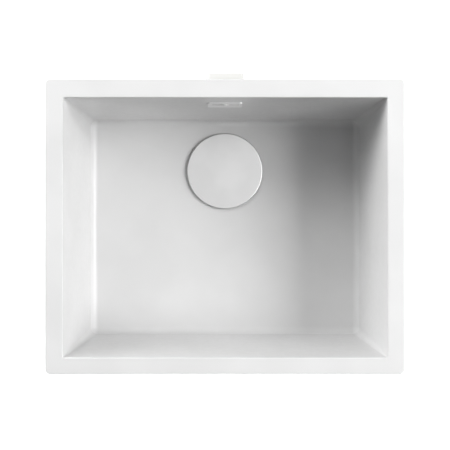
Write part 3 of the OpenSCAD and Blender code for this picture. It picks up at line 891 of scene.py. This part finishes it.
@dataclass(frozen=True)
class HoseRoute:
    """The hose's middle line in the plane x = 0: down the wall, round one bend and forward into the waste.

    Its start repeats the design's own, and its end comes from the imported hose. The bend ends where a straight
    of one hose diameter is left before the port.
    """

    wall: BackWall = BackWall()
    start_up: float = -41 * MM
    start_back: float = -30 * MM
    diameter: float = 26 * MM

    @cached_property
    def end(self) -> tuple[float, float]:
        """Where the hose enters the waste's port, in y and z."""
        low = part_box("overflow_hose")[0]
        return low.y, low.z + self.diameter / 2

    @property
    def start(self) -> np.ndarray:
        """Where the hose leaves the elbow's spigot, in y and z."""
        return self.wall.place(np.array([[0.0, self.start_up, self.start_back]]))[0, 1:]

    @property
    def bend(self) -> float:
        """The angle of the one bend."""
        return math.pi / 2 - self.wall.draft

    @property
    def reach(self) -> float:
        """From the bend's end back to the corner that the two straights would meet in."""
        end_y, end_z = self.end
        return self.start[0] - (self.start[1] - end_z) * math.tan(self.wall.draft) - end_y - self.diameter

    @property
    def radius(self) -> float:
        """The bend's radius."""
        return self.reach / math.tan(self.bend / 2)

    @property
    def fall(self) -> float:
        """Length of the straight down the wall."""
        return (self.start[1] - self.end[1]) / math.cos(self.wall.draft) - self.reach

    @property
    def length(self) -> float:
        """Length of the whole hose."""
        return self.fall + self.radius * self.bend + self.diameter

    def angle(self, s: np.ndarray) -> np.ndarray:
        """The angle turned from straight down, at lengths along the hose."""
        return self.wall.draft + np.clip((s - self.fall) / self.radius, 0, self.bend)

    def middle(self, s: np.ndarray) -> np.ndarray:
        """The middle line: each straight, or the arc by its angle from the bend's centre.

        Args:
            s: Lengths along the hose.

        Returns:
            Points in y and z.
        """
        draft = self.wall.draft
        end_y, end_z = self.end
        down = np.array([math.sin(draft), math.cos(draft)])
        bend_start = self.start - self.fall * down
        centre = bend_start - self.radius * np.array([math.cos(draft), -math.sin(draft)])
        arc = centre + self.radius * on_circle(-self.angle(s))
        before = self.start - s[:, None] * down
        after = np.stack([end_y + self.length - s, np.full(len(s), end_z)], -1)
        early, late = (s <= self.fall)[:, None], (s > self.fall + self.radius * self.bend)[:, None]
        return np.where(early, before, np.where(late, after, arc))


@dataclass(frozen=True)
class Hose:
    """The ribbed overflow hose: a round profile of ribs carried along the route, closed by its bore."""

    route: HoseRoute = HoseRoute()
    crest: float = 13 * MM
    root: float = 11 * MM
    bore: float = 9.5 * MM
    collar: float = 12.6 * MM
    collar_width: float = 2 * MM
    collar_edge: float = 0.3 * MM
    neck: float = 3.5 * MM
    rib: float = 4 * MM
    tightness: float = 0.7
    steps_per_rib: int = 10
    bore_rings: int = 40
    sides: int = 48

    def profile(self) -> tuple[np.ndarray, np.ndarray]:
        """The hose in section: collar, neck, ribs, neck and collar outside, and then the bore back.

        A rib's radius is root + (crest - root) * w, where w is (0.5 - 0.5 cos) of its phase to the power of
        tightness, which gives round crests and tighter roots.

        Returns:
            Lengths along the hose and the radius at each.
        """
        length, edge = self.route.length, self.collar_edge
        first = self.collar_width + self.neck
        count = int((length - 2 * first) / self.rib)
        phase = np.linspace(0, count, count * self.steps_per_rib + 1)
        wave = (0.5 - 0.5 * np.cos(2 * np.pi * phase)) ** self.tightness
        start_s = np.array([0, edge, self.collar_width - edge, self.collar_width, self.collar_width])
        start_r = np.array([self.collar - edge, self.collar, self.collar, self.collar - edge, self.root])
        ribs_s = first + phase * (length - 2 * first) / count
        ribs_r = self.root + (self.crest - self.root) * wave
        back = np.linspace(length, 0, self.bore_rings)
        s = np.concatenate([start_s, ribs_s, length - start_s[::-1], back])
        return s, np.concatenate([start_r, ribs_r, start_r[::-1], np.full(len(back), self.bore)])

    def build(self) -> None:
        """Carries the profile along the route: each ring lies square to the middle line."""
        s, r = self.profile()
        middle, lean = self.route.middle(s), self.route.angle(s)
        t = turns(self.sides)
        x = r[:, None] * np.cos(t)
        y = middle[:, :1] + r[:, None] * np.sin(t) * np.cos(lean)[:, None]
        z = middle[:, 1:] - r[:, None] * np.sin(t) * np.sin(lean)[:, None]
        points = np.stack([x, y, z], -1).reshape(-1, 3)
        faces = grid_faces(len(s), self.sides, True)
        piece = make_piece("overflow_hose_ribbed", points, faces, WHITE_PLASTIC)
        settle(piece, "overflow_hose")


@dataclass(frozen=True)
class Overflow:
    """The overflow: trim and screw in the bowl, the elbow behind the wall, and the hose with its unions."""

    hose: Hose = Hose()
    trim_edge: Edge = Edge.PRESSED
    moulded_edge: Edge = Edge.MOULDED

    def build(self) -> None:
        """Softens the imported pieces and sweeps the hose."""
        softened("overflow_trim", TRIM_STEEL, self.trim_edge)
        softened("overflow_screw", TRIM_STEEL, Edge.TURNED)
        softened("overflow_gasket", BLACK_RUBBER, Edge.RUBBER)
        softened("overflow_elbow", WHITE_PLASTIC, self.moulded_edge)
        softened("hose_nuts", GREY_PLASTIC, self.moulded_edge)
        kept("elbow_insert", TURNED_BRASS)
        kept("hose_seals", BLACK_RUBBER)
        self.hose.build()


# The waste


@dataclass(frozen=True)
class OutletThread:
    """The outlet's 1 1/2 inch thread, 11 turns to the inch, as a sleeve over the turned-down wall."""

    crest: float = 23.9 * MM
    root: float = 22.6 * MM
    inner: float = 22.2 * MM
    pitch: float = INCH / 11
    length: float = 25.5 * MM
    chamfer: float = 0.8 * MM
    flank: float = 0.9
    turned_under: float = 0.1 * MM
    sides: int = 96
    rows_per_turn: int = 12

    @cached_property
    def axis_y(self) -> float:
        """The outlet's axis in y."""
        return axis_of("strainer_cup")

    @cached_property
    def z_end(self) -> float:
        """The height of the outlet's lower end."""
        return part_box("waste_body")[0].z

    def build(self) -> Object:
        """Makes the sleeve: at angle t and height z the radius is root + depth * ridge(z / pitch - t / turn).

        The ridge is a trapezium with rounded flanks, and its depth fades to nothing over the last turn at the
        top and over the chamfer at the end.

        Returns:
            The sleeve.
        """
        rows = int(self.length / self.pitch * self.rows_per_turn)
        z = np.linspace(self.length, 0, rows + 1)[:, None]
        t = turns(self.sides)
        ridge = np.clip(0.5 + self.flank * np.cos(2 * np.pi * z / self.pitch - t), 0, 1)
        fade = np.clip((self.length - z) / self.pitch, 0, 1) * np.clip(z / self.chamfer, 0, 1)
        outer = self.root + (self.crest - self.root) * ridge * fade
        inner = np.full((2, self.sides), self.inner)
        radius = np.concatenate([outer, inner])
        height = self.z_end + np.concatenate([z, [[0.0], [self.length]]])
        points = spun(radius, height, t, self.axis_y)
        faces = grid_faces(len(radius), self.sides, True)
        return make_piece("outlet_thread", points, faces, GREY_PLASTIC)

    def turning_ring(self) -> Object:
        """A square-edged ring that turns the outlet down to just under the thread's root.

        Returns:
            The ring.
        """
        near, far = self.root - self.turned_under, self.crest + 2 * OVER
        low, high = self.z_end - OVER, self.z_end + self.length
        section = np.array([[near, low], [far, low], [far, high], [near, high]])
        points = spun(section[:, :1], section[:, 1:], turns(self.sides), self.axis_y)
        return link_mesh("turning_ring", points, grid_faces(len(section), self.sides, True).tolist())


@dataclass(frozen=True)
class StrainerWaste:
    """The waste under the floor: drawn cup, gaskets, moulded body with its threaded outlet, and the clamp."""

    thread: OutletThread = OutletThread()
    rolled_edge: Edge = Edge.TURNED
    moulded_edge: Edge = Edge.MOULDED

    def build(self) -> None:
        """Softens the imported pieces, turns the outlet down and threads it."""
        softened("strainer_cup", DRAWN_STEEL, self.rolled_edge)
        softened("cup_gasket", BLACK_RUBBER, Edge.RUBBER)
        softened("waste_gasket", BLACK_RUBBER, Edge.RUBBER)
        softened("clamp_screw", SCREW_STEEL, Edge.TURNED)
        kept("clamp_nut", TURNED_BRASS)
        body = merged_copy("waste_body", GREY_PLASTIC)
        cut(body, self.thread.turning_ring())
        soften(body, self.moulded_edge)
        settle(body, "waste_body")
        settle(self.thread.build(), "waste_body")


@dataclass(frozen=True)
class Basket:
    """The strainer basket: pierced steel, a turned knob, and the seal and clip riveted under it."""

    knob_edge: Edge = Edge.TURNED
    seal_edge: Edge = Edge.RUBBER

    def build(self) -> None:
        """Softens the small pieces. The pierced basket keeps its mesh: its edges are too fine to round."""
        kept("strainer_basket", DRAWN_STEEL)
        softened("basket_knob", DRAWN_STEEL, self.knob_edge)
        softened("basket_seal", BLACK_RUBBER, self.seal_edge)
        softened("basket_clip", WHITE_PLASTIC, Edge.TURNED)
        kept("basket_rivet", SCREW_STEEL)


@dataclass(frozen=True)
class DrainCover:
    """The drain cover: a pressed satin disc on a moulded carrier with three rubber feet."""

    disc_edge: Edge = Edge.TURNED
    carrier_edge: Edge = Edge.MOULDED
    feet_edge: Edge = Edge.RUBBER

    def build(self) -> None:
        """Softens the disc, the carrier and the feet."""
        softened("cover_plate", SATIN_STEEL, self.disc_edge)
        softened("cover_carrier", CARRIER_PLASTIC, self.carrier_edge)
        softened("cover_feet", BLACK_RUBBER, self.feet_edge)


# Camera, floor and light


@dataclass(frozen=True)
class Softbox:
    """A flat area lamp, placed by its compass turn from +X, its height in degrees and its distance.

    It faces the middle of the bowl. size is its width, and squat its height as a share of that. Where it
    isn't mirrored, it lights the sink but isn't seen in steel or glaze, and no glare hides a lifted cover.
    """

    name: str
    turn: float
    height: float
    size: float
    power: float
    squat: float = 1.0
    mirrored: bool = True
    distance: float = 4.0
    aim: tuple[float, float, float] = (0.0, 0.0, -0.12)

    def build(self) -> None:
        """Hangs the lamp and turns its face to its aim."""
        data = bpy.data.lights.new(self.name, "AREA")
        data.shape = "RECTANGLE"
        data.size = self.size
        data.size_y = self.size * self.squat
        data.energy = self.power
        lamp = add_object(self.name, data)
        turn, height = math.radians(self.turn), math.radians(self.height)
        level = math.cos(height)
        way = Vector((level * math.cos(turn), level * math.sin(turn), math.sin(height)))
        lamp.location = self.distance * way
        lamp.visible_glossy = self.mirrored
        lamp.rotation_euler = (Vector(self.aim) - lamp.location).to_track_quat("-Z", "Y").to_euler()


@dataclass(frozen=True)
class Studio:
    """The straight-down camera, a white floor under the waste, and soft light from right and left.

    world is the world's level for scattered light. glow is the floor's own light near the sink, which grows
    to full white between glow_near and glow_far. The floor is seen in paint, and throws back the light of
    dim_paint.
    """

    frame_px: int = 450
    mm_per_px: float = 1.5564
    camera_height: float = 1.064
    camera_y: float = 2.5 * MM
    sensor: float = 36.0
    world: float = 0.01
    glow: float = 0.52
    glow_near: float = 0.7
    glow_far: float = 1.6
    paint: str = "e6e6e6"
    dim_paint: str = "b0b0b0"
    floor_gap: float = 0.3 * MM
    floor_reach: float = 6.0
    lamps: tuple[Softbox, ...] = (
        Softbox("right_high", 0, 42, 2.4, 147.0),
        Softbox("right_low", 0, 12, 1.4, 29.0),
        Softbox("back_right_high", 30, 42, 2.4, 33.0, mirrored=False),
        Softbox("back_high", 120, 42, 2.4, 35.0, mirrored=False),
        Softbox("back_left_high", 140, 42, 2.4, 24.0, mirrored=False),
        Softbox("back_left_low", 140, 26, 2.0, 44.0, mirrored=False),
        Softbox("left_low", 160, 12, 1.4, 93.0),
        Softbox("front_fill_below_the_rim", -90, -2.2, 1.4, 70.0, squat=0.17),
    )

    def build(self) -> None:
        """Makes the camera, the world, the lamps and the floor."""
        self._camera()
        self._world()
        self._floor()
        for lamp in self.lamps:
            lamp.build()

    def _camera(self) -> None:
        """A camera that looks straight down and frames the photograph's square."""
        width = self.frame_px * self.mm_per_px * MM
        data = bpy.data.cameras.new("camera")
        data.sensor_width = self.sensor
        data.lens = self.sensor * self.camera_height / width
        camera = add_object("camera", data)
        camera.location = (0.0, self.camera_y, self.camera_height)
        bpy.context.scene.camera = camera
        bpy.context.scene.view_settings.view_transform = "Standard"

    @staticmethod
    def _direct(tree: NodeTree) -> NodeSocket:
        """One where the camera or its mirror image looks, and nothing for light that the sink scattered.

        Args:
            tree: The tree that gets the nodes.

        Returns:
            Camera ray, or glossy ray times one less the count of diffuse bounces.
        """
        path = add_node(tree, "ShaderNodeLightPath").outputs
        bounces = {1: path["Diffuse Depth"]}
        first = add_node(tree, "ShaderNodeMath", {0: 1.0}, bounces, operation="SUBTRACT", use_clamp=True)
        glossy = {0: path["Is Glossy Ray"], 1: first.outputs[0]}
        mirrored = add_node(tree, "ShaderNodeMath", {}, glossy, operation="MULTIPLY").outputs[0]
        rays = {0: path["Is Camera Ray"], 1: mirrored}
        return add_node(tree, "ShaderNodeMath", {}, rays, operation="MAXIMUM").outputs[0]

    def _world(self) -> None:
        """White where the camera or a reflection sees it, and nearly dark as a source of light."""
        world = bpy.data.worlds.new("studio")
        bpy.context.scene.world = world
        world.use_nodes = True
        tree = world.node_tree
        tree.nodes.clear()
        levels = {"To Min": self.world, "To Max": 1.0}
        level = add_node(tree, "ShaderNodeMapRange", levels, {"Value": self._direct(tree)}).outputs["Result"]
        light = add_node(tree, "ShaderNodeBackground", {"Color": hex_linear(WHITE)}, {"Strength": level})
        add_node(tree, "ShaderNodeOutputWorld", {}, {"Surface": light.outputs[0]})

    def _floor(self) -> None:
        """A wide white floor just under the foot of the waste outlet, which keeps the shadow."""
        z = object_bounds()[0].z - self.floor_gap
        far = self.floor_reach
        mesh = bpy.data.meshes.new("floor")
        mesh.from_pydata([(-far, -far, z), (far, -far, z), (far, far, z), (-far, far, z)], [], [(0, 1, 2, 3)])
        floor = add_object("floor", mesh)
        mesh.materials.append(self._floor_material())
        floor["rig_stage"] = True

    def _floor_material(self) -> Material:
        """Matt paint that is white where the camera or a reflection sees it, and glows enough to reach white.

        The glow takes over where the lamps no longer reach. The light thrown back on the sink is that of a
        grey floor, so that its pale sides don't clip. The underside is clear, for views from below.

        Returns:
            The material.
        """
        material = bpy.data.materials.new("white_floor")
        material.use_nodes = True
        tree = material.node_tree
        tree.nodes.clear()
        paint = add_node(tree, "ShaderNodeBsdfDiffuse", {"Color": hex_linear(self.paint)}).outputs[0]
        place = add_node(tree, "ShaderNodeTexCoord").outputs["Object"]
        away = add_node(tree, "ShaderNodeVectorMath", {}, {0: place}, operation="LENGTH").outputs["Value"]
        band = {"From Min": self.glow_near, "From Max": self.glow_far, "To Min": self.glow, "To Max": 1.0}
        level = add_node(tree, "ShaderNodeMapRange", band, {"Value": away}).outputs["Result"]
        white = {"Color": hex_linear(WHITE)}
        glow = add_node(tree, "ShaderNodeEmission", white, {"Strength": level}).outputs[0]
        lit = add_node(tree, "ShaderNodeAddShader", {}, {0: paint, 1: glow}).outputs[0]
        dim = add_node(tree, "ShaderNodeBsdfDiffuse", {"Color": hex_linear(self.dim_paint)}).outputs[0]
        views = {"Fac": self._direct(tree), 1: dim, 2: lit}
        seen = add_node(tree, "ShaderNodeMixShader", {}, views).outputs[0]
        clear = add_node(tree, "ShaderNodeBsdfTransparent").outputs[0]
        below = add_node(tree, "ShaderNodeNewGeometry").outputs["Backfacing"]
        surface = add_node(tree, "ShaderNodeMixShader", {}, {"Fac": below, 1: seen, 2: clear}).outputs[0]
        add_node(tree, "ShaderNodeOutputMaterial", {}, {"Surface": surface})
        return material


def clear_scene() -> None:
    """Removes what a new file starts with, so that only the part and its studio are left."""
    for thing in list(bpy.data.objects):
        bpy.data.objects.remove(thing)


def main() -> None:
    """Loads the frame, lights it and dresses each sub-assembly."""
    logging.basicConfig(level=logging.INFO, format="%(name)s: %(message)s")
    clear_scene()
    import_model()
    for assembly in (Studio(), Basin(), StrainerWaste(), Basket(), DrainCover(), Overflow()):
        assembly.build()


if __name__ == "__main__":
    main()
